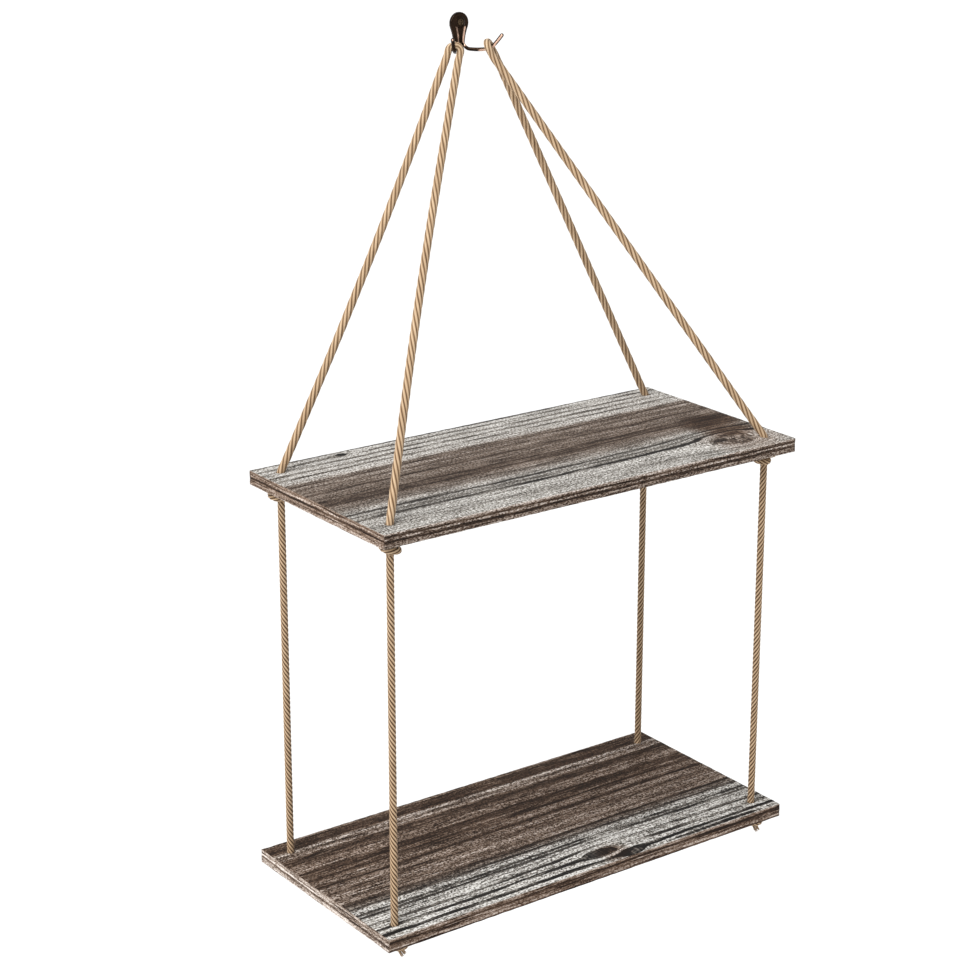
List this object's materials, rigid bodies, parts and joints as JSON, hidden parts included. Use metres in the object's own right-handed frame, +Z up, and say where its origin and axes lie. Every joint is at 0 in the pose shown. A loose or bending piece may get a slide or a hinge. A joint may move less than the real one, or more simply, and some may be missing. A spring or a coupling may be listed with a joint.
{
  "type": "hanging rope shelf",
  "caption": "Hanging rope shelf: rustic wooden boards held at their corners by knotted ropes that run up to the prongs of a bronze wall hook.",
  "frame": {"origin": "on the wall plane, at the middle of the rear face of the hook's plate", "axes": "+Z up, +X along the boards, +Y into the wall, so the shelf stands out of the wall towards -Y"},
  "size_m": [0.43, 0.2119, 0.7374],
  "materials": {
    "upper_wood": "limed and brushed, grey and white with brown bands",
    "lower_wood": "limed and brushed, brown with black and white bands",
    "rope": "twisted tan cord",
    "bronze": "dark rubbed bronze, semi-gloss",
    "screw_bronze": "dark bronze, semi-gloss"
  },
  "bodies": {
    "hook": {"wall_hook": "bronze", "upper_screw": "screw_bronze", "lower_screw": "screw_bronze"},
    "rope_bends": {"left_rope_bend": "rope", "right_rope_bend": "rope"},
    "leg_left_front": {"left_front_leg": "rope"},
    "leg_left_back": {"left_back_leg": "rope"},
    "leg_right_front": {"right_front_leg": "rope"},
    "leg_right_back": {"right_back_leg": "rope"},
    "upper_tier": {"upper_board": "upper_wood", "left_front_upper_knot": "rope", "left_back_upper_knot": "rope", "right_front_upper_knot": "rope", "right_back_upper_knot": "rope"},
    "rope_left_front": {"left_front_lower_rope": "rope"},
    "rope_left_back": {"left_back_lower_rope": "rope"},
    "rope_right_front": {"right_front_lower_rope": "rope"},
    "rope_right_back": {"right_back_lower_rope": "rope"},
    "lower_tier": {"lower_board": "lower_wood", "left_front_lower_knot": "rope", "left_back_lower_knot": "rope", "right_front_lower_knot": "rope", "right_back_lower_knot": "rope"}
  },
  "joints": [
    {"name": "swing_out", "type": "hinge", "parent": "hook", "child": "rope_bends", "pos_m": [0, -0.02042, -0.0133], "axis": [-1, 0, 0], "range_deg": [0, 20]},
    {"name": "side_swing", "type": "hinge", "parent": "rope_bends", "child": "upper_tier", "pos_m": [0, -0.02042, 0.02066], "axis": [0, 1, 0], "range_deg": [-8, 8]},
    {"name": "left_front_leg_turn", "type": "hinge", "parent": "rope_bends", "child": "leg_left_front", "pos_m": [-0.01505, -0.02428, -0.0146], "axis": [0, 1, 0], "range_deg": [-8.85, 8.85]},
    {"name": "left_back_leg_turn", "type": "hinge", "parent": "rope_bends", "child": "leg_left_back", "pos_m": [-0.02177, -0.01671, -0.01275], "axis": [0, 1, 0], "range_deg": [-8.85, 8.85]},
    {"name": "right_front_leg_turn", "type": "hinge", "parent": "rope_bends", "child": "leg_right_front", "pos_m": [0.01505, -0.02428, -0.0146], "axis": [0, 1, 0], "range_deg": [-8.85, 8.85]},
    {"name": "right_back_leg_turn", "type": "hinge", "parent": "rope_bends", "child": "leg_right_back", "pos_m": [0.02177, -0.01671, -0.01275], "axis": [0, 1, 0], "range_deg": [-8.85, 8.85]},
    {"name": "lower_sway", "type": "hinge", "parent": "upper_tier", "child": "rope_left_front", "pos_m": [-0.1965, -0.182, -0.37134], "axis": [0, 1, 0], "range_deg": [-8, 8]},
    {"name": "left_back_rope_turn", "type": "hinge", "parent": "upper_tier", "child": "rope_left_back", "pos_m": [-0.1965, -0.02, -0.37134], "axis": [0, 1, 0], "range_deg": [-8, 8]},
    {"name": "right_front_rope_turn", "type": "hinge", "parent": "upper_tier", "child": "rope_right_front", "pos_m": [0.1965, -0.182, -0.37134], "axis": [0, 1, 0], "range_deg": [-8, 8]},
    {"name": "right_back_rope_turn", "type": "hinge", "parent": "upper_tier", "child": "rope_right_back", "pos_m": [0.1965, -0.02, -0.37134], "axis": [0, 1, 0], "range_deg": [-8, 8]},
    {"name": "lower_board_level", "type": "hinge", "parent": "rope_left_front", "child": "lower_tier", "pos_m": [-0.1965, -0.182, -0.6942], "axis": [0, 1, 0], "range_deg": [-8, 8]}
  ],
  "couplings": [
    {"joint": "left_front_leg_turn", "follows": "side_swing", "ratio": 1.1011},
    {"joint": "left_back_leg_turn", "follows": "side_swing", "ratio": 1.1057},
    {"joint": "right_front_leg_turn", "follows": "side_swing", "ratio": 1.1011},
    {"joint": "right_back_leg_turn", "follows": "side_swing", "ratio": 1.1057},
    {"joint": "left_back_rope_turn", "follows": "lower_sway", "ratio": 1},
    {"joint": "right_front_rope_turn", "follows": "lower_sway", "ratio": 1},
    {"joint": "right_back_rope_turn", "follows": "lower_sway", "ratio": 1},
    {"joint": "lower_board_level", "follows": "lower_sway", "ratio": -1}
  ]
}
